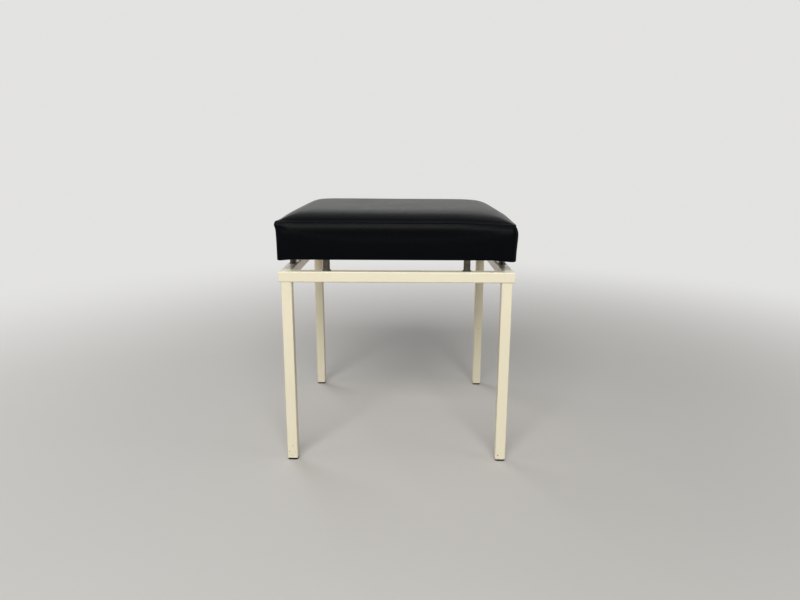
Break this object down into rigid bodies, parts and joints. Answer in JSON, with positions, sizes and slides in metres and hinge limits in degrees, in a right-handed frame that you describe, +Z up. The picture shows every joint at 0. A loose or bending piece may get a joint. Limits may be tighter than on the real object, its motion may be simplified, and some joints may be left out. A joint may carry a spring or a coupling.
{
  "type": "shoe fitting stool",
  "caption": "Low square stool: a slim welded square-tube frame with a thick padded black seat held just clear of it on short tubular spacers.",
  "frame": {"origin": "floor level at the centre of the stool's outline", "axes": "+Z up; -Y is the front, the side that faces the viewer in the picture; +X is the viewer's right"},
  "size_m": [0.412, 0.421, 0.4587],
  "materials": {
    "cream_enamel": "gloss cream enamel, lightly chipped at the feet",
    "black_plastic": "matt black moulded plastic",
    "spacer_steel": "dull bright-plated steel tube",
    "washer_steel": "dull zinc plate",
    "bolt_steel": "zinc plate",
    "insert_steel": "yellowish zinc plate",
    "plywood": "plain sanded birch plywood",
    "foam": "open-cell upholstery foam",
    "black_leatherette": "smooth black leatherette with a fine grain",
    "staple_wire": "bright galvanised wire"
  },
  "bodies": {
    "root": {"front_rail": "cream_enamel", "back_rail": "cream_enamel", "left_rail": "cream_enamel", "right_rail": "cream_enamel", "rail_end_plates": "cream_enamel", "frame_welds": "cream_enamel", "front_left_leg": "cream_enamel", "front_right_leg": "cream_enamel", "back_left_leg": "cream_enamel", "back_right_leg": "cream_enamel", "front_left_foot": "black_plastic", "front_right_foot": "black_plastic", "back_left_foot": "black_plastic", "back_right_foot": "black_plastic", "front_rail_left_spacer": "spacer_steel", "front_rail_right_spacer": "spacer_steel", "back_rail_left_spacer": "spacer_steel", "back_rail_right_spacer": "spacer_steel", "left_rail_front_spacer": "spacer_steel", "left_rail_back_spacer": "spacer_steel", "right_rail_front_spacer": "spacer_steel", "right_rail_back_spacer": "spacer_steel", "spacer_washers": "washer_steel", "bolt_washers": "washer_steel", "seat_bolts": "bolt_steel", "insert_nuts": "insert_steel", "seat_board": "plywood", "foam_pad": "foam", "cover_top": "black_leatherette", "cover_band": "black_leatherette", "hem_staples": "staple_wire"}
  },
  "joints": []
}
